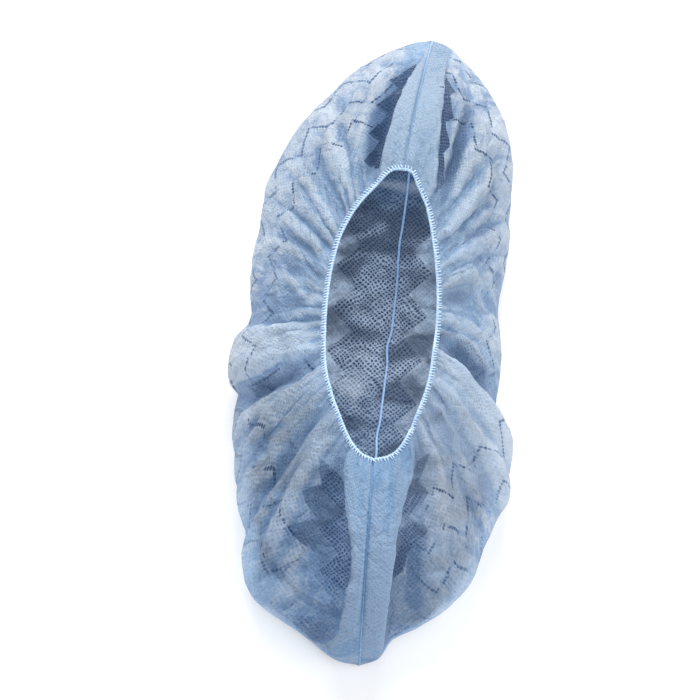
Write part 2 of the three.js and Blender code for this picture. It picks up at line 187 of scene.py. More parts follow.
# side, at, drift, before, after, spread, flat, from, to, lift
FOLDS = [
    (-1, 0.000, 0.000, 0.078, 0.078, 0.12, 0.72, -0.20, 1.05, 1.00),
    (1, 0.000, 0.000, 0.168, 0.168, 0.46, 0.82, -0.20, 1.05, 1.00),
    (-1, 0.000, 0.000, 0.070, 0.070, 0.15, 0.50, 0.05, 0.80, 0.70),
    (1, 0.000, 0.000, 0.150, 0.150, 0.46, 0.60, 0.05, 0.80, 0.70),
    (-1, 0.112, -0.085, 0.038, 0.060, 0.75, 0.00, 0.00, 0.90, -1.70),
    (1, 0.200, -0.100, 0.038, 0.055, 0.75, 0.00, 0.00, 0.90, -1.70),
    (-1, 0.180, 0.012, 0.028, 0.035, 1.10, 0.00, -0.10, 0.85, 1.00),
    (-1, 0.272, -0.006, 0.028, 0.035, 1.10, 0.00, -0.10, 0.80, 0.80),
    (-1, 0.405, 0.010, 0.040, 0.040, 1.20, 0.00, -0.10, 0.90, -0.80),
    (-1, 0.597, -0.048, 0.050, 0.030, 1.10, 0.10, 0.00, 1.30, 2.20),
    (-1, 0.645, -0.060, 0.030, 0.045, 1.00, 0.00, -0.10, 1.20, -1.90),
    (-1, 0.700, -0.070, 0.036, 0.070, 1.00, 0.00, -0.10, 1.00, 0.90),
    (-1, 0.828, 0.055, 0.046, 0.036, 0.90, 0.00, -0.10, 0.95, 1.50),
    (-1, 0.900, 0.072, 0.045, 0.030, 0.70, 0.00, 0.00, 1.00, -1.90),
    (-1, 1.000, 0.000, 0.078, 0.078, 0.12, 0.70, -0.20, 1.15, 1.00),
    (-1, 1.000, 0.000, 0.070, 0.070, 0.15, 0.50, 0.05, 0.90, 0.70),
    (1, 0.282, -0.045, 0.032, 0.035, 1.10, 0.00, -0.10, 0.85, 1.00),
    (1, 0.345, -0.030, 0.030, 0.030, 1.10, 0.00, -0.10, 0.75, 0.70),
    (1, 0.440, 0.010, 0.040, 0.040, 1.10, 0.00, -0.10, 0.85, -0.70),
    (1, 0.552, 0.015, 0.070, 0.028, 1.00, 0.00, -0.10, 1.15, -1.90),
    (1, 0.598, 0.020, 0.026, 0.095, 1.00, 0.05, 0.00, 1.30, 2.20),
    (1, 0.700, 0.000, 0.035, 0.040, 1.00, 0.00, -0.10, 0.75, 0.70),
    (1, 0.795, 0.060, 0.048, 0.036, 0.90, 0.00, -0.10, 0.90, 1.40),
    (1, 0.850, 0.068, 0.040, 0.030, 0.80, 0.00, 0.00, 1.00, -1.90),
    (1, 1.000, 0.000, 0.128, 0.128, 0.50, 0.78, -0.20, 1.15, 1.00),
    (1, 1.000, 0.000, 0.110, 0.110, 0.50, 0.60, 0.05, 0.90, 0.70),
]
# Folds that are flatter than this are the smooth strips at toe and heel. They take their half
# widths, as shares of the turn, from these tables by side, at seven shares of the way out.
STRIP_FLAT = 0.65
AT_OUT = (0.0, 0.12, 0.30, 0.45, 0.60, 0.80, 1.0)
TOE_STRIP = {
    1: (0.150, 0.140, 0.100, 0.074, 0.058, 0.046, 0.040),
    -1: (0.072, 0.066, 0.048, 0.034, 0.022, 0.008, 0.004),
}
HEEL_STRIP = {
    1: (0.150, 0.150, 0.090, 0.058, 0.046, 0.040, 0.036),
    -1: (0.082, 0.072, 0.042, 0.024, 0.017, 0.022, 0.034),
}

# height, span, count, seed, jitter, least, play, play's count, play's seed
GATHERS = (
    (1.7, 10, 52, 2, 1.1, 0.7, 0.6, 23, 12),
    (2.2, 24, 27, 3, 1.1, 0.5, 0.7, 13, 13),
    (1.8, 48, 15, 4, 1.0, 0.5, 0.7, 9, 14),
)

# size, height
CREASES = ((46, 1.6), (24, 1.25), (12, 0.8), (6.5, 0.32))


def smooth(v):
    v = np.clip(v, 0, 1)
    return v * v * (3 - 2 * v)


def read(rows, column, at):
    """Smooth curve through a table, its first column the key."""
    key = rows[:, 0]
    val = rows[:, column]
    slope = np.empty_like(val)
    slope[1:-1] = (val[2:] - val[:-2]) / (key[2:] - key[:-2])
    slope[0] = (val[1] - val[0]) / (key[1] - key[0])
    slope[-1] = (val[-1] - val[-2]) / (key[-1] - key[-2])
    i = np.clip(np.searchsorted(key, at, side="right") - 1, 0, len(key) - 2)
    span = key[i + 1] - key[i]
    s = np.clip((at - key[i]) / span, 0, 1)
    s2 = s * s
    s3 = s2 * s
    return ((2 * s3 - 3 * s2 + 1) * val[i] + (s3 - 2 * s2 + s) * span * slope[i]
            + (3 * s2 - 2 * s3) * val[i + 1] + (s3 - s2) * span * slope[i + 1])


PROFILE_Q = np.column_stack([np.arange(len(PROFILE), dtype=float), PROFILE])


def plain(side, turn, q):
    """Outer face before folds. turn and q are arrays of one shape."""
    cx, cy = (1, 2) if side < 0 else (3, 4)
    rim_x = read(RIM, cx, turn) * OPENING_WIDTH / 2
    rim_y = read(RIM, cy, turn) * OPENING_LENGTH / 2
    out_x = read(OUTLINE, cx, turn) * HALF_WIDTH
    out_y = read(OUTLINE, cy, turn) * HALF_LENGTH
    out = np.clip(read(PROFILE_Q, 1, q), 0, 1)
    inward = np.clip(read(PROFILE_Q, 2, q), 0, 1)
    up = read(PROFILE_Q, 3, q)
    up_end = read(PROFILE_Q, 4, q)
    up = np.where(q >= SOLE_ROW, 0, np.maximum(up, 0))
    up_end = np.where(q >= SOLE_ROW, 0, np.maximum(up_end, 0))
    line_y = LINE_HALF * (1 - 2 * turn)
    x = rim_x + (out_x - rim_x) * out
    y = rim_y + (out_y - rim_y) * out
    end = np.abs(2 * turn - 1) ** 2
    level = 1 + (read(RIM, 5, turn) - 1) * (1 - out)
    z = SOLE_Z + (RIM_Z - SOLE_Z) * (up + (up_end - up) * end) * level
    return np.stack([x + (LINE_X - x) * inward, y + (line_y - y) * inward, z], -1), out, inward


def bump(d, flat):
    return smooth((1 - np.abs(d)) / (1 - flat))


def noise1(x, count, seed):
    """Smooth random curve, periodic over 0 to 1, values about -1 to 1."""
    r = np.random.default_rng(seed).uniform(-1, 1, count)
    t = (x % 1.0) * count
    i = np.floor(t).astype(int)
    s = t - i
    s = s * s * (3 - 2 * s)
    return r[i % count] * (1 - s) + r[(i + 1) % count] * s


def noise2(x, y, seed):
    """Smooth random field, values about -1 to 1, one cell a unit."""
    size = 64
    r = np.random.default_rng(seed).uniform(-1, 1, (size, size))
    i = np.floor(x).astype(int)
    j = np.floor(y).astype(int)
    s = x - i
    t = y - j
    s = s * s * (3 - 2 * s)
    t = t * t * (3 - 2 * t)
    a = r[i % size, j % size] * (1 - s) + r[(i + 1) % size, j % size] * s
    b = r[i % size, (j + 1) % size] * (1 - s) + r[(i + 1) % size, (j + 1) % size] * s
    return a * (1 - t) + b * t


# Rows of the fine grid: close together at the rim and round the bottom edge.
ROWS_Q = np.concatenate([
    np.linspace(0, 2, 18, endpoint=False),
    np.linspace(2, 9, 38, endpoint=False),
    np.linspace(9, 13, 18, endpoint=False),
    np.linspace(13, 17, 20),
])
ROWS = len(ROWS_Q)
turns = np.linspace(0, 1, COLUMNS + 1)
T, Q = np.meshgrid(turns, ROWS_Q, indexing="ij")
sides = {side: plain(side, T, Q) for side in (1, -1)}
RING = 2 * COLUMNS


def ring_of(part):
    """A closed ring of columns: down the right side from toe to heel, and back up the left."""
    return np.concatenate([sides[1][part], sides[-1][part][COLUMNS - 1:0:-1]], 0)


ring = ring_of(0)
ring_out = ring_of(1)
ring_in = ring_of(2)
ring_turn = np.concatenate([turns, turns[COLUMNS - 1:0:-1]])
ring_side = np.concatenate([np.zeros(1), np.ones(COLUMNS - 1), np.zeros(1), -np.ones(COLUMNS - 1)])

# The same as columns, to go with whole rows: turn, side, and place in the ring.
tt = ring_turn[:, None]
ss = ring_side[:, None]
ph = np.arange(RING)[:, None] / RING


def ring_normals(p):
    along = np.roll(p, -1, 0) - np.roll(p, 1, 0)
    down = np.empty_like(p)
    down[:, 1:-1] = p[:, 2:] - p[:, :-2]
    down[:, 0] = p[:, 1] - p[:, 0]
    down[:, -1] = p[:, -1] - p[:, -2]
    n = np.cross(along, down)
    n /= np.maximum(np.linalg.norm(n, axis=-1, keepdims=True), 1e-9)
    return n


normal = ring_normals(ring)
# How far each point lies from the rim along the cloth, and 1 on the sole and 0 on the walls.
step = np.linalg.norm(np.diff(ring, axis=1), axis=-1)
d = np.concatenate([np.zeros((RING, 1)), np.cumsum(step, 1)], 1)
sole = smooth((ROWS_Q[None, :] - EDGE_ROW) / (SOLE_ROW - EDGE_ROW))
fade = 1 - sole


def strip_width(table):
    return np.where(ss > 0, np.interp(ring_out, AT_OUT, table[1]), np.interp(ring_out, AT_OUT, table[-1]))


# Broad folds, as in the solids but for the widths of the strips.
toe_strip = strip_width(TOE_STRIP)
heel_strip = strip_width(HEEL_STRIP)
reach = ring_out + ring_in * 4
lift = np.zeros((RING, ROWS))
for side, at, drift, before, after, spread, flat, start, stop, height in FOLDS:
    off = tt - at - drift * ring_out
    w = (1 + (spread - 1) * np.minimum(1, ring_out)) * np.where(off < 0, before, after)
    if flat > STRIP_FLAT:
        w = toe_strip if at < 0.5 else heel_strip
        flat = 0.85
    g = bump(off / w, 0.55 + 0.45 * flat if flat else 0)
    g = g * smooth((reach - start) / 0.35) * smooth((stop - reach) / 0.45)
    lift += PLEAT_RISE * height * g * (ss == side)


def ridge(count, seed, jitter):
    """Ridges round the ring at uneven distances."""
    phase = count * (ph + jitter / count * noise1(ph, count // 3, seed))
    return 2 * np.abs(np.cos(math.pi * phase)) - 1.15


# Gathers: fine ruffles at the elastic that run together into broader folds further out.
uneven = 1 + 0.35 * noise1(ph, 37, 15) + 0.2 * noise1(ph, 71, 16)
gd = d / uneven
gather = 1.15 * np.exp(-(gd / 8) ** 1.4) * ridge(96, 1, 0.9) * (0.75 + 0.35 * noise1(ph, 40, 11))
for height, span, count, seed, jitter, least, play, play_count, play_seed in GATHERS:
    rise = height * (gd / span) * np.exp(1 - gd / span)
    gather += rise * ridge(count, seed, jitter) * (least + play * noise1(ph, play_count, play_seed))

# The dome over the toes is smoother, and the two strips at the ends are smooth.
toe_half = 0.5 + 0.5 * smooth((tt - 0.05) / 0.45)
past_toe = tt - toe_strip
past_heel = 1 - tt - heel_strip
off_strip = smooth(past_toe / 0.02 + 0.5) * smooth(past_heel / 0.02 + 0.5)
strip_mask = (1 - off_strip) * fade
gather *= fade * (0.2 + 0.8 * smooth(d / 5)) * toe_half * (0.25 + 0.75 * off_strip)

# Beside the strips the cloth lies on the sole, which shows through it; the colour there holds painted
# shade.
toe_ramp = np.clip(1 - past_toe / np.where(ss < 0, 0.085, 0.060), 0, 1) * smooth(past_toe / 0.005)
heel_ramp = np.clip(1 - past_heel / np.where(ss < 0, 0.130, 0.115), 0, 1) * smooth(past_heel / 0.005)
window = (toe_ramp * smooth((ring_out - 0.05) / 0.12) * smooth((0.86 - ring_out) / 0.25)
          + heel_ramp * smooth((ring_out - 0.12) / 0.2) * smooth((0.80 - ring_out) / 0.2)) * fade

on_walls = np.where(ROWS_Q < SOLE_ROW, 1, 0)[None, :, None]
cloth = ring + normal * (lift + gather)[..., None] * on_walls


def flat_map(P):
    """Where one side's points lie on the flat sheet in mm: along it, and out from its fold.

    The rim, the end seams and the sole are given, and the walls are spread evenly between them.
    """
    first = int(np.argmax(ROWS_Q >= SOLE_ROW))
    S = -P[..., 1]
    V = np.abs(P[..., 0] - LINE_X)
    down = np.linspace(0, 1, first + 1)[None, :]
    rim_s = (2 * turns[::COARSE][:, None] - 1) * FLAT_LONG
    S[:, :first + 1] = rim_s * (1 - down) + S[:, first:first + 1] * down
    V[:, :first + 1] = FLAT_WIDE * (1 - down) + V[:, first:first + 1] * down
    for col, sign in ((0, -1), (len(P) - 1, 1)):
        seg = np.linalg.norm(np.diff(P[col], axis=0), axis=-1)
        up = np.concatenate([[0], np.cumsum(seg[::-1])])[::-1]
        up = up - up[first]
        start = abs(P[col, first, 1])
        spare = FLAT_LONG - start
        k = np.arange(first + 1)
        S[col, k] = sign * np.minimum(FLAT_LONG, start + up[k])
        V[col, k] = np.maximum(0, up[k] - spare) * FLAT_WIDE / (up[0] - spare)
    S[:, 0] = rim_s[:, 0]
    V[:, 0] = FLAT_WIDE

    # Weights from the cells' own shapes, then rounds of each point towards its neighbours' mean.
    li = np.linalg.norm(np.diff(P, axis=0), axis=-1) + 0.05
    lj = np.linalg.norm(np.diff(P, axis=1), axis=-1) + 0.05
    cell_i = 0.5 * (li[:, :-1] + li[:, 1:])
    cell_j = 0.5 * (lj[:-1] + lj[1:])
    wi = cell_j / cell_i
    wj = cell_i / cell_j
    w_back = wi[:-1, :first - 1]
    w_on = wi[1:, :first - 1]
    w_up = wj[:-1, :first - 1]
    w_down = wj[:-1, 1:first]
    total = w_back + w_on + w_up + w_down
    for _ in range(RELAX_ROUNDS):
        for F in (S, V):
            mean = (w_back * F[:-2, 1:first] + w_on * F[2:, 1:first]
                    + w_up * F[1:-1, :first - 1] + w_down * F[1:-1, 2:first + 1]) / total
            F[1:-1, 1:first] += RELAX_SHARE * (mean - F[1:-1, 1:first])
    return S, V


# Flat coordinates of each point of the cloth.
flat_uv = np.zeros((RING, ROWS, 2))
for side in (1, -1):
    fine = np.empty((COLUMNS + 1, ROWS, 2))
    for axis, values in enumerate(flat_map(sides[side][0][::COARSE])):
        for r in range(ROWS):
            fine[:, r, axis] = np.interp(turns, turns[::COARSE], values[:, r])
    if side > 0:
        flat_uv[:COLUMNS + 1] = fine
    else:
        flat_uv[COLUMNS + 1:] = fine[COLUMNS - 1:0:-1]

# Soft creases of handled cloth over the whole sheet, and waves of the sole.
su = flat_uv[..., 0]
sv = flat_uv[..., 1] * np.where(ss < 0, -1, 1)
creases = np.zeros_like(lift)
for k, (size, amp) in enumerate(CREASES):
    a = noise2((su + 300) / size, (sv + 300) / size, 30 + k)
    b = noise2((su + 0.6 * sv + 400) / size, (sv - 0.4 * su + 400) / size, 40 + k)
    creases += amp * (0.6 - 2.2 * np.minimum(np.abs(a), np.abs(b)))
wave = (1.1 + 1.2 * noise2((su + 300) / 19, (sv + 300) / 40, 51)
        - 1.7 * np.abs(noise2((su + 0.4 * sv + 300) / 13, (sv + 300) / 34, 52))
        + 0.6 * noise2((su + 300) / 7, (sv + 300) / 15, 53))


def mean_round(values, half, stride=1):
    """Mean over each point's neighbours round the ring."""
    shifts = range(-half, half + 1, stride)
    return sum(np.roll(values, k, 0) for k in shifts) / len(shifts)


# How far each point stands over its neighbours, which the colour follows with painted shade in hollows and
# painted highlight on ridges.
stand = lift + gather + creases * smooth(d / 12)
relief = (stand - mean_round(stand, 9) + 0.6 * (stand - mean_round(stand, 30, 3))
          + 1.5 * (stand - mean_round(stand, 3))) * fade + 1.1 * sole * (wave - 0.9)

off_end_seams = smooth(np.minimum(tt, 1 - tt) / 0.02)
off_outline = 1 - 0.6 * smooth((ring_out - 0.7) / 0.3)
creases *= off_outline * fade * smooth(d / 12) * off_end_seams * (1 - 0.6 * strip_mask)
cloth += ring_normals(cloth) * creases[..., None]
cloth[..., 2] += sole * np.maximum(0, wave) * smooth(flat_uv[..., 1] / 6)
cloth[..., 2] = np.maximum(cloth[..., 2], SOLE_Z)
cloth[..., 0] += SHIFT[0]
cloth[..., 1] += SHIFT[1]


def new_mesh(name, verts, faces, mat, smooth_shade=True):
    mesh = bpy.data.meshes.new(name)
    verts = np.asarray(verts, dtype=np.float32) * 0.001
    faces = np.asarray(faces, dtype=np.int32)
    k = faces.shape[1]
    mesh.vertices.add(len(verts))
    mesh.vertices.foreach_set("co", verts.ravel())
    mesh.loops.add(faces.size)
    mesh.loops.foreach_set("vertex_index", faces.ravel())
    mesh.polygons.add(len(faces))
    mesh.polygons.foreach_set("loop_start", np.arange(0, faces.size, k, dtype=np.int32))
    mesh.update(calc_edges=True)
    mesh.validate()
    if smooth_shade:
        mesh.polygons.foreach_set("use_smooth", np.ones(len(mesh.polygons), dtype=bool))
    obj = bpy.data.objects.new(name, mesh)
    bpy.context.scene.collection.objects.link(obj)
    obj.data.materials.append(mat)
    return obj


def material(name):
    mat = bpy.data.materials.new(name)
    mat.use_nodes = True
    tree = mat.node_tree
    tree.nodes.clear()
    return mat, tree


class Nodes:
    """Short names for the nodes of one material."""

    def __init__(self, tree):
        self.tree = tree

    def new(self, kind, **values):
        node = self.tree.nodes.new(kind)
        for key, value in values.items():
            setattr(node, key, value)
        return node

    def put(self, socket, value):
        if isinstance(value, bpy.types.NodeSocket):
            self.tree.links.new(value, socket)
        else:
            socket.default_value = value

    def math(self, op, *values):
        node = self.new("ShaderNodeMath", operation=op)
        for socket, value in zip(node.inputs, values):
            self.put(socket, value)
        return node.outputs[0]

    def plus(self, a, b):
        return self.math("ADD", a, b)

    def minus(self, a, b):
        return self.math("SUBTRACT", a, b)

    def over(self, a, b):
        return self.math("DIVIDE", a, b)

    def times(self, first, *others):
        for value in others:
            first = self.math("MULTIPLY", first, value)
        return first

    def flip(self, value):
        """1 - value."""
        return self.minus(1.0, value)

    def step(self, value, low, high):
        """Smooth rise from 0 at low to 1 at high."""
        node = self.new("ShaderNodeMapRange", interpolation_type="SMOOTHSTEP")
        self.put(node.inputs[0], value)
        self.put(node.inputs[1], low)
        self.put(node.inputs[2], high)
        return node.outputs[0]

    def inside(self, value, rise, fall):
        """1 between the rise and the fall, each given as its two ends."""
        return self.times(self.step(value, *rise), self.flip(self.step(value, *fall)))

    def mix(self, fac, a, b):
        node = self.new("ShaderNodeMix", data_type="RGBA")
        self.put(node.inputs[0], fac)
        self.put(node.inputs[6], a)
        self.put(node.inputs[7], b)
        return node.outputs[2]

    def tint(self, base, where, amount, colour):
        """The base colour drawn towards another one by an amount, where the mask is 1."""
        return self.mix(self.times(where, amount), base, colour)

    def noise(self, vector, scale, detail=2.0, roughness=0.5):
        node = self.new("ShaderNodeTexNoise")
        self.put(node.inputs["Vector"], vector)
        self.put(node.inputs["Scale"], scale)
        self.put(node.inputs["Detail"], detail)
        self.put(node.inputs["Roughness"], roughness)
        return node.outputs[0]

    def stretched(self, vector, squeeze, angle):
        """Coordinates turned, and squeezed on their second axis."""
        node = self.new("ShaderNodeMapping")
        self.put(node.inputs[0], vector)
        node.inputs["Scale"].default_value = (1.0, squeeze, 1.0)
        node.inputs["Rotation"].default_value = (0, 0, angle)
        return node.outputs[0]

    def attribute(self, name):
        node = self.new("ShaderNodeAttribute", attribute_type="GEOMETRY", attribute_name=name)
        return node.outputs["Fac"]


def zigzag(n, along, across):
    """How far out a point lies from a line that zigzags like the coating."""
    saw = n.over(n.math("PINGPONG", along, TREAD_PITCH / 2), TREAD_PITCH / 2)
    return n.plus(across, n.times(n.minus(saw, 0.5), TREAD_SWING))


def bare_line(n, out):
    """1 in the narrow bare lines between the bands of coating."""
    band = n.math("FRACT", n.over(n.minus(out, COAT_START), BAND_WIDTH))
    return n.inside(band, (0.877, 0.89), (0.975, 0.99))


def cloth_pattern(n):
    """The values that the cloth's colours, height and see-through share have in common."""
    p = SimpleNamespace()
    p.uv = n.new("ShaderNodeUVMap", uv_map="flat").outputs[0]
    xyz = n.new("ShaderNodeSeparateXYZ")
    n.put(xyz.inputs[0], p.uv)
    p.across = xyz.outputs[1]
    p.right_side = n.step(p.across, 0.0, 0.02)
    for name in ("deep", "relief", "sunk", "strip", "window"):
        setattr(p, name, n.attribute(name))

    # In mm, s runs along the sheet from toe to heel, and v out from its middle. The pattern was
    # printed a little off the fold, to one side at the toe and to the other at the heel.
    p.s = n.times(xyz.outputs[0], MM_PER_UV)
    p.heel = n.step(p.s, 55.0, 115.0)
    aside = n.minus(8.0, n.times(p.heel, 14.0))
    p.v = n.math("ABSOLUTE", n.plus(n.times(p.across, MM_PER_UV), aside))
    p.v = n.minus(p.v, n.times(p.heel, 5.0))

    # Embossed bond points in a diagonal grid, its rows a little bent.
    diagonal = POINT_PITCH * 1.414
    bend_a = n.times(n.noise(p.uv, 7.0), 3.0)
    bend_b = n.times(n.noise(p.uv, 9.0), 3.0)
    a = n.plus(n.over(n.plus(p.s, p.v), diagonal), bend_a)
    b = n.plus(n.over(n.minus(p.s, p.v), diagonal), bend_b)
    off_a = n.minus(n.math("FRACT", a), 0.5)
    off_b = n.minus(n.math("FRACT", b), 0.5)
    off = n.math("SQRT", n.plus(n.times(off_a, off_a), n.times(off_b, off_b)))
    p.dot = n.flip(n.step(off, 0.20, 0.37))
    p.wide_dot = n.flip(n.step(off, 0.26, 0.43))
    p.big_dot = n.flip(n.step(off, 0.40, 0.49))

    # The zigzag coating in bands, with narrow bare lines between them.
    p.vz = zigzag(n, p.s, p.v)
    start = n.step(p.vz, COAT_START, COAT_START + 0.8)
    past_toe_end = n.step(p.s, *TOE_END)
    sole_end = n.inside(p.s, TOE_END, (165.0, 167.0))
    sole_end = n.times(sole_end, n.flip(n.step(p.vz, 104.0, 105.0)))
    towards_heel = n.minus(p.s, n.times(p.right_side, 70.0))
    wall_end = n.times(n.flip(n.step(p.v, 70.0, 130.0)), n.flip(n.step(towards_heel, 40.0, 130.0)))
    wall_end = n.times(wall_end, past_toe_end)
    ends = n.plus(n.times(p.deep, sole_end), n.times(n.flip(p.deep), wall_end))
    p.coat = n.times(start, ends, n.flip(bare_line(n, p.vz)))
    p.spot = n.times(p.dot, n.flip(n.times(p.coat, 0.8)))

    # The same lines read at the middle of each bond point, so that a line is a row of whole points.
    mid_a = n.minus(n.plus(n.math("FLOOR", a), 0.5), bend_a)
    mid_b = n.minus(n.plus(n.math("FLOOR", b), 0.5), bend_b)
    mid_s = n.times(n.plus(mid_a, mid_b), POINT_PITCH * 0.707)
    mid_v = n.times(n.minus(mid_a, mid_b), POINT_PITCH * 0.707)
    row = n.times(bare_line(n, zigzag(n, mid_s, mid_v)), p.big_dot, start)
    p.sole_line = n.times(row, sole_end)
    line_end = n.times(n.flip(n.step(p.vz, 104.0, 106.0)), past_toe_end, n.flip(n.step(p.s, 145.0, 175.0)))
    p.wall_line = n.times(row, line_end, n.step(n.noise(p.uv, 3.6), 0.18, 0.32))

    # Fibres, and thin creases in colour only: a painted highlight line with painted shade at its side.
    p.fibre = n.noise(n.stretched(p.uv, 0.35, 0.5), 160.0, 4.0, 0.65)
    p.pale_fibre = n.step(p.fibre, 0.35, 0.7)
    wander = n.minus(n.noise(n.stretched(p.uv, 0.55, -0.4), 6.5, 3.0, 0.55), 0.5)
    p.crest = n.flip(n.step(n.math("ABSOLUTE", wander), 0.0, 0.022))
    p.trough = n.inside(wander, (0.01, 0.03), (0.04, 0.09))

    # The clear patches beside the strips end in the teeth of the coating below. They are partly
    # see-through, and painted with the shade of the sole below.
    tooth = n.over(n.math("PINGPONG", n.plus(p.across, 1.0), TOOTH), TOOTH)
    tooth = n.times(tooth, n.minus(0.42, n.times(p.heel, 0.1)))
    p.clear_patch = n.step(n.minus(p.window, n.plus(0.20, tooth)), 0.0, 0.05)
    return p


def wall_colour(n, p):
    cloud = n.step(n.noise(p.uv, 6.0, 4.0, 0.6), 0.35, 0.7)
    blue = n.mix(cloud, (0.42, 0.60, 0.80, 1), (0.58, 0.72, 0.87, 1))
    bare = n.mix(p.pale_fibre, (0.33, 0.50, 0.72, 1), blue)
    coated = n.mix(p.pale_fibre, (0.48, 0.56, 0.67, 1), (0.78, 0.83, 0.88, 1))
    base = n.mix(p.coat, bare, coated)
    grain = n.noise(p.uv, 46.0, 3.0, 0.7)
    base = n.tint(base, n.step(grain, 0.5, 0.68), 0.3, (0.80, 0.87, 0.95, 1))
    base = n.tint(base, n.step(grain, 0.5, 0.32), 0.25, (0.24, 0.40, 0.64, 1))

    # Painted shade in the hollows and painted highlight on the ridges. The strips are smoother than the
    # rest.
    base = n.tint(base, n.step(p.relief, -0.1, -1.9), 0.75, (0.17, 0.30, 0.53, 1))
    base = n.tint(base, n.step(p.relief, 0.1, 1.8), 0.7, (0.78, 0.85, 0.92, 1))
    # Painted highlight along the thin creases and painted shade beside them, weaker on the strips.
    creased = n.flip(n.times(p.strip, 0.7))
    base = n.tint(base, n.times(p.crest, creased), 0.3, (0.84, 0.90, 0.96, 1))
    base = n.tint(base, n.times(p.trough, creased), 0.3, (0.20, 0.34, 0.56, 1))
    # Painted light: paler and bluer towards the rim.
    base = n.tint(base, n.step(p.v, 90.0, 165.0), 0.4, (0.56, 0.75, 0.95, 1))

    # The bond points, a real pattern, are painted darker where the cloth sags, and the sags darker still:
    # painted shade.
    dot_and_sag_shade_share = n.plus(0.16, n.times(n.step(p.sunk, 0.8, 4.0), 0.6))
    base = n.tint(base, p.spot, dot_and_sag_shade_share, (0.07, 0.13, 0.27, 1))
    sag_shade_share = n.minus(0.5, n.times(p.heel, 0.4))
    base = n.tint(base, n.step(p.sunk, 1.0, 5.0), sag_shade_share, (0.15, 0.25, 0.44, 1))
    # Painted shade of the shadowed sole seen through the patches beside the strips, darkest at the bond
    # points.
    base = n.tint(base, p.window, 0.22, (0.12, 0.24, 0.44, 1))
    base = n.tint(base, p.clear_patch, 0.5, (0.09, 0.19, 0.38, 1))
    base = n.tint(base, n.times(p.clear_patch, p.big_dot), 0.95, (0.015, 0.04, 0.12, 1))

    # The strips, and the doubled cloth at the toe's end.
    stripe = n.mix(p.heel, (0.30, 0.43, 0.59, 1), (0.20, 0.38, 0.63, 1))
    base = n.tint(base, p.strip, 0.62, stripe)
    doubled = n.times(p.strip, p.dot, n.step(p.s, -120.0, -150.0), n.flip(n.step(p.v, 50.0, 130.0)))
    doubled_share = n.plus(0.3, n.times(p.right_side, 0.4))
    base = n.tint(base, doubled, doubled_share, (0.13, 0.24, 0.42, 1))

    # Painted light on a part at the right of the heel, and the zigzag lines.
    heel_right_light = n.times(p.right_side, n.step(p.s, 20.0, 90.0), n.step(p.vz, 75.0, 100.0), n.flip(p.strip))
    base = n.tint(base, heel_right_light, 0.45, (0.74, 0.81, 0.88, 1))
    return n.tint(base, p.wall_line, 0.95, (0.04, 0.09, 0.20, 1))


def sole_colour(n, p):
    """The sole is pulled flat; its colours are painted darker, as painted shade inside the cover."""
    bare = n.mix(p.pale_fibre, (0.36, 0.46, 0.62, 1), (0.74, 0.83, 0.95, 1))
    coated = n.mix(p.pale_fibre, (0.64, 0.76, 0.92, 1), (0.86, 0.94, 1.0, 1))
    low = n.mix(p.coat, bare, coated)
    # Painted shade in random patches, outside the lit patches.
    lit_patch = n.step(n.noise(p.uv, 11.0, 3.0, 0.6), 0.34, 0.62)
    low = n.tint(low, n.flip(lit_patch), 0.35, (0.12, 0.17, 0.27, 1))
    # The bond points, a real pattern, painted near black: painted shade seen through them.
    dark = n.times(p.wide_dot, n.flip(n.times(p.coat, 0.85)))
    low = n.tint(low, dark, n.flip(n.times(lit_patch, 0.2)), (0.02, 0.04, 0.09, 1))
    # Painted highlight and painted shade of the thin creases.
    low = n.tint(low, p.crest, 0.14, (0.80, 0.87, 0.95, 1))
    low = n.tint(low, p.trough, 0.3, (0.05, 0.08, 0.15, 1))
    low = n.tint(low, p.sole_line, 0.95, (0.03, 0.05, 0.11, 1))

    # A row of points where the sole's edge turns up round the heel, drawn as a band of painted shade.
    from_middle = n.minus(p.s, 96.0)
    radius = n.math("SQRT", n.plus(n.times(from_middle, from_middle), n.times(p.v, p.v)))
    heel_turn_shade = n.times(n.inside(radius, (64.0, 65.5), (69.0, 70.5)), n.step(p.s, 92.0, 100.0))
    low = n.tint(low, heel_turn_shade, 0.9, (0.03, 0.05, 0.11, 1))

    # Painted shade under the toe and the heel and in the hollows, and painted highlight on the ridges.
    low = n.tint(low, n.step(p.s, -78.0, -108.0), 0.72, (0.03, 0.09, 0.19, 1))
    low = n.tint(low, n.step(p.s, 0.0, 50.0), 0.5, (0.06, 0.13, 0.25, 1))
    low = n.tint(low, n.step(p.relief, 0.2, -1.4), 0.75, (0.05, 0.08, 0.14, 1))
    return n.tint(low, n.step(p.relief, 0.4, 1.5), 0.5, (0.72, 0.79, 0.88, 1))


def cloth_height(n, p):
    """Height for the bump: fibres, points, coating, and crumpling in two sizes."""
    height = n.plus(n.times(p.fibre, 0.5), n.times(p.dot, -0.6))
    height = n.plus(height, n.times(p.coat, 0.25))
    height = n.plus(height, n.times(n.noise(p.uv, 30.0, 3.0, 0.6), 3.4))
    fold = n.math("ABSOLUTE", n.minus(n.noise(p.uv, 5.0, 3.0), 0.5))
    return n.plus(height, n.times(fold, 14.0))


def see_through(n, p):
    """Share that shows through: more where the cloth is bare or sags, none on the sole."""
    see = n.plus(0.20, n.times(n.flip(p.coat), 0.10))
    see = n.plus(see, n.times(n.step(p.s, 40.0, 100.0), 0.26))
    sag_share = n.minus(0.28, n.times(p.heel, 0.22))
    see = n.plus(see, n.times(n.step(p.sunk, 0.5, 4.5), sag_share))
    see = n.minus(see, n.times(n.step(p.sunk, -0.5, -4.0), 0.10))
    see = n.plus(see, n.times(p.spot, 0.05))
    see = n.plus(see, n.times(p.clear_patch, 0.22))
    return n.times(see, n.flip(n.times(p.strip, 0.75)), n.flip(p.deep))


def bump_node(n, height, strength, distance):
    node = n.new("ShaderNodeBump")
    node.inputs["Strength"].default_value = strength
    node.inputs["Distance"].default_value = distance
    n.put(node.inputs["Height"], height)
    return node.outputs[0]


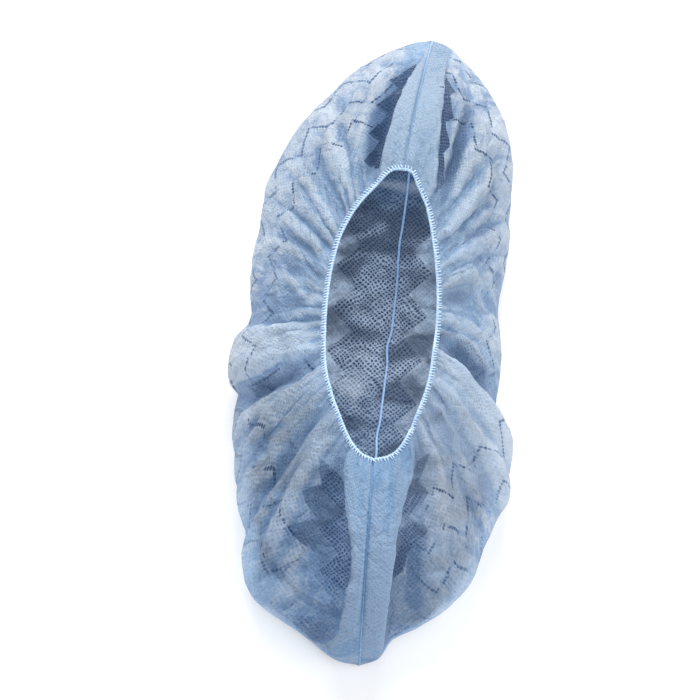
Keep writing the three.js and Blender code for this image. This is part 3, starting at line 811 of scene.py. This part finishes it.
def cloth_material():
    mat, tree = material("spunbond_cloth")
    n = Nodes(tree)
    p = cloth_pattern(n)
    base = n.mix(p.deep, wall_colour(n, p), sole_colour(n, p))
    bent = bump_node(n, cloth_height(n, p), 0.95, 0.0006)
    bsdf = n.new("ShaderNodeBsdfPrincipled")
    n.put(bsdf.inputs["Base Color"], base)
    n.put(bsdf.inputs["Normal"], bent)
    bsdf.inputs["Roughness"].default_value = 0.62
    bsdf.inputs["Specular IOR Level"].default_value = 0.3
    bsdf.inputs["Sheen Weight"].default_value = 0.25
    bsdf.inputs["Sheen Roughness"].default_value = 0.4
    trans = n.new("ShaderNodeBsdfTranslucent")
    n.put(trans.inputs[0], base)
    n.put(trans.inputs[1], bent)
    body = n.new("ShaderNodeMixShader")
    body.inputs[0].default_value = 0.33
    n.put(body.inputs[1], bsdf.outputs[0])
    n.put(body.inputs[2], trans.outputs[0])
    clear = n.new("ShaderNodeBsdfTransparent")
    clear.inputs[0].default_value = (0.80, 0.90, 1.0, 1)
    final = n.new("ShaderNodeMixShader")
    n.put(final.inputs[0], see_through(n, p))
    n.put(final.inputs[1], body.outputs[0])
    n.put(final.inputs[2], clear.outputs[0])
    out = n.new("ShaderNodeOutputMaterial")
    n.put(out.inputs[0], final.outputs[0])
    return mat


def plain_material(name, low, high, rough, scale):
    mat, tree = material(name)
    n = Nodes(tree)
    place = n.new("ShaderNodeTexCoord").outputs["Object"]
    fibre = n.noise(place, scale, 4.0, 0.6)
    bsdf = n.new("ShaderNodeBsdfPrincipled")
    n.put(bsdf.inputs["Base Color"], n.mix(n.step(fibre, 0.3, 0.7), low, high))
    n.put(bsdf.inputs["Normal"], bump_node(n, fibre, 0.4, 0.0003))
    bsdf.inputs["Roughness"].default_value = rough
    bsdf.inputs["Sheen Weight"].default_value = 0.2
    out = n.new("ShaderNodeOutputMaterial")
    n.put(out.inputs[0], bsdf.outputs[0])
    return mat


CLOTH = cloth_material()
THREAD = plain_material("overlock_thread", (0.40, 0.57, 0.78, 1), (0.70, 0.81, 0.92, 1), 0.75, 500.0)
CORE = plain_material("elastic_core", (0.34, 0.54, 0.80, 1), (0.52, 0.70, 0.90, 1), 0.8, 600.0)
SEAM = plain_material("sewn_seam", (0.26, 0.44, 0.70, 1), (0.42, 0.60, 0.84, 1), 0.7, 500.0)
COAT = plain_material("tread_coating", (0.72, 0.80, 0.88, 1), (0.86, 0.91, 0.96, 1), 0.5, 300.0)

# Vertices: the ring grid, with the last row shared by the two sides.
ids = np.arange(RING * (ROWS - 1)).reshape(RING, ROWS - 1)
line_ids = RING * (ROWS - 1) + np.concatenate([np.arange(COLUMNS + 1), np.arange(COLUMNS - 1, 0, -1)])
full = np.concatenate([ids, line_ids[:, None]], 1)
verts = np.concatenate([cloth[:, :-1].reshape(-1, 3), cloth[:COLUMNS + 1, -1]])


def corners(grid):
    """The four corners of each cell of the ring."""
    nxt = np.roll(grid, -1, 0)
    return np.stack([grid[:, :-1], nxt[:, :-1], nxt[:, 1:], grid[:, 1:]], 2)


cover = new_mesh("cover_cloth", verts, corners(full).reshape(-1, 4), CLOTH)
corner_uv = corners(flat_uv)
corner_uv[COLUMNS:, ..., 1] *= -1
uv = cover.data.uv_layers.new(name="flat")
uv.data.foreach_set("uv", (corner_uv / MM_PER_UV).astype(np.float32).ravel())
for name, values in (("deep", np.broadcast_to(sole, (RING, ROWS))), ("strip", strip_mask),
                     ("window", window), ("sunk", -lift), ("relief", relief)):
    held = cover.data.attributes.new(name, "FLOAT", "POINT")
    held.data.foreach_set("value", np.concatenate([
        values[:, :-1].ravel(), values[:COLUMNS + 1, -1]]).astype(np.float32))
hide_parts("left_panel", "right_panel")
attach(cover, ROOT)


def unit(v):
    return v / np.linalg.norm(v, axis=1, keepdims=True)


def tube(points, radius, sides, closed=True, squash=1.0):
    """Vertices and faces of a tube along points."""
    p = np.asarray(points, float)
    m = len(p)
    if closed:
        t = unit(np.roll(p, -1, 0) - np.roll(p, 1, 0))
    else:
        t = unit(np.gradient(p, axis=0))
    side_v = np.cross(t, (0.0, 0.0, 1.0))
    side_v[np.linalg.norm(side_v, axis=1) < 1e-3] = (1, 0, 0)
    side_v = unit(side_v)
    up = np.cross(side_v, t)
    ang = np.linspace(0, 2 * math.pi, sides, endpoint=False)
    v = p[:, None] + radius * (np.cos(ang)[None, :, None] * side_v[:, None]
                               + squash * np.sin(ang)[None, :, None] * up[:, None])
    idx = np.arange(m * sides).reshape(m, sides)
    if closed:
        a = idx
        b = np.roll(idx, -1, 0)
    else:
        a = idx[:-1]
        b = idx[1:]
    f = np.stack([a, b, np.roll(b, -1, 1), np.roll(a, -1, 1)], -1).reshape(-1, 4)
    return v.reshape(-1, 3), f


# Elastic: a core along the rim, wrapped in overlock thread.
SOFT = 12
kernel = np.exp(-0.5 * (np.arange(-SOFT, SOFT + 1) / 5.0) ** 2)
kernel /= kernel.sum()


def soften(p):
    """Weighted mean over neighbours round the ring."""
    out = np.zeros_like(p)
    for k, w in zip(range(-SOFT, SOFT + 1), kernel):
        out += w * np.roll(p, k, 0)
    return out


rim = cloth[:, 0]
down = unit(soften(unit(cloth[:, 3] - rim)))
core = 0.6 * rim + 0.4 * soften(rim) + down * 0.9
elastic = new_mesh("elastic_core", *tube(core, CORE_RADIUS, 8), CORE)
seg = np.linalg.norm(np.roll(core, -1, 0) - core, axis=1)
length = seg.sum()
gone = np.concatenate([[0], np.cumsum(seg)])
stitches = int(round(length / STITCH_PITCH))
m = stitches * STITCH_STEPS
part_way = np.arange(m) / m
at = np.linspace(0, length, m, endpoint=False) + 0.35 * noise1(part_way, stitches, 6)


def round_core(values):
    """A ring's values read at the places in at."""
    closed = np.vstack([values, values[:1]])
    return np.stack([np.interp(at, gone, closed[:, k], period=length) for k in range(3)], -1)


middle = round_core(core)
onward = unit(np.roll(middle, -1, 0) - np.roll(middle, 1, 0))
outward = round_core(down)
outward = unit(outward - onward * (outward * onward).sum(1, keepdims=True))
across = np.cross(onward, outward)
ang = 2 * math.pi * np.arange(m) / STITCH_STEPS
reach_out = THREAD_REACH + 0.25 * noise1(part_way, stitches * 2 // 3, 5)
reach_across = 1.0 + 0.12 * noise1(part_way, 500, 9)
helix = (middle + outward * 0.75 + (reach_out * np.cos(ang))[:, None] * outward
         + (reach_across * np.sin(ang))[:, None] * across)
wrap = new_mesh("overlock_thread", *tube(helix, THREAD_RADIUS, 5), THREAD)
for o in (elastic, wrap):
    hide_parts("elastic_edging")
    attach(o, ROOT)

# Centre seam: a narrow rolled edge inside along the sole, and the same seam at toe and heel.
seam_pts = cloth[:COLUMNS + 1, -1][4:-4:2].copy()
part_way = np.linspace(0, 1, len(seam_pts))
seam_pts[:, 0] += 0.9 * noise1(part_way, 31, 18)
seam_pts[:, 2] = SOLE_Z + 1.3 + 0.5 * noise1(part_way, 40, 8)
seam = new_mesh("sole_seam", *tube(seam_pts, SOLE_SEAM_RADIUS, 8, closed=False, squash=0.9), SEAM)
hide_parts("centre_seam")
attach(seam, ROOT)
normal = ring_normals(cloth)
last = int(np.argmax(ROWS_Q >= 12.5))
for label, col in (("toe_seam", 0), ("heel_seam", COLUMNS)):
    pts = cloth[col, 1:last] + normal[col, 1:last] * 0.25
    o = new_mesh(label, *tube(pts, END_SEAM_RADIUS, 6, closed=False), SEAM)
    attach(o, ROOT)

# Tread films under the sole: zigzag slabs.
for label, side, inner, outer, half in TREADS:
    ys = np.arange(-half, half + 0.01, FILM_STEP)
    saw = np.abs((ys / (TREAD_PITCH / 2)) % 2 - 1) - 0.5
    cols = np.linspace(0, 1, FILM_COLUMNS)
    gx = LINE_X + SHIFT[0] + side * (inner + (outer - inner) * cols[None, :] + TREAD_SWING * saw[:, None])
    gy = np.repeat(ys[:, None], FILM_COLUMNS, 1) + SHIFT[1]
    top = np.stack([gx, gy, np.full_like(gx, FILM_TOP)], -1)
    bot = np.stack([gx, gy, np.full_like(gx, FILM_LOW)], -1)
    nr, nc = gx.shape
    vv = np.concatenate([top.reshape(-1, 3), bot.reshape(-1, 3)])
    idx = np.arange(nr * nc).reshape(nr, nc)
    f_top = np.stack([idx[:-1, :-1], idx[1:, :-1], idx[1:, 1:], idx[:-1, 1:]], -1).reshape(-1, 4)
    f_bot = f_top[:, ::-1] + nr * nc
    ring_ids = np.concatenate([idx[:, 0], idx[-1, 1:], idx[::-1, -1][1:], idx[0, ::-1][1:-1]])
    nx = np.roll(ring_ids, -1)
    f_side = np.stack([ring_ids, nx, nx + nr * nc, ring_ids + nr * nc], -1)
    film = new_mesh(label + "_film", vv, np.concatenate([f_top, f_bot, f_side]), COAT, False)
    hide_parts(label)
    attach(film, ROOT)

# Floor, light and camera.
floor_mat, floor_tree = material("floor")
nodes = Nodes(floor_tree)
floor_bsdf = nodes.new("ShaderNodeBsdfPrincipled")
floor_bsdf.inputs["Base Color"].default_value = (0.62, 0.62, 0.625, 1)
floor_bsdf.inputs["Emission Color"].default_value = (1, 1, 1, 1)
floor_bsdf.inputs["Emission Strength"].default_value = 0.38
floor_bsdf.inputs["Roughness"].default_value = 0.7
nodes.put(nodes.new("ShaderNodeOutputMaterial").inputs[0], floor_bsdf.outputs[0])
bpy.ops.mesh.primitive_plane_add(size=8, location=(0, 0, 0))
floor = bpy.context.object
floor.name = "floor"
floor.data.materials.append(floor_mat)

world = bpy.data.worlds.new("studio")
bpy.context.scene.world = world
world.use_nodes = True
world.node_tree.nodes["Background"].inputs[0].default_value = (0.97, 0.98, 1.0, 1)
world.node_tree.nodes["Background"].inputs[1].default_value = 0.56


def area(name, loc, size, energy, target=(0, 0, 0.03)):
    light = bpy.data.lights.new(name, "AREA")
    light.energy = energy
    light.size = size
    obj = bpy.data.objects.new(name, light)
    bpy.context.scene.collection.objects.link(obj)
    obj.location = loc
    obj.rotation_euler = (Vector(target) - Vector(loc)).to_track_quat("-Z", "Y").to_euler()


area("key", (-0.2, 1.05, 1.1), 0.8, 25)
area("fill", (0.9, -0.5, 1.3), 1.0, 12)

az = math.radians(AZIMUTH)
el = math.radians(ELEVATION)
right = Vector((math.cos(az), math.sin(az), 0))
img_up = Vector((-math.sin(az) * math.sin(el), math.cos(az) * math.sin(el), math.cos(el)))
back = Vector((math.sin(az) * math.cos(el), -math.cos(az) * math.cos(el), math.sin(el)))
target = Vector((SHIFT[0], SHIFT[1], 0)) * 0.001 + right * AIM_RIGHT + img_up * AIM_UP
cam_data = bpy.data.cameras.new("camera")
cam_data.lens = 200
cam_data.sensor_width = 36
cam = bpy.data.objects.new("camera", cam_data)
bpy.context.scene.collection.objects.link(cam)
cam.location = target + back * DISTANCE
cam.rotation_euler = (target - cam.location).to_track_quat("-Z", "Y").to_euler()
bpy.context.scene.camera = cam
bpy.context.scene.view_settings.view_transform = "Standard"
bpy.context.scene.view_settings.look = "None"
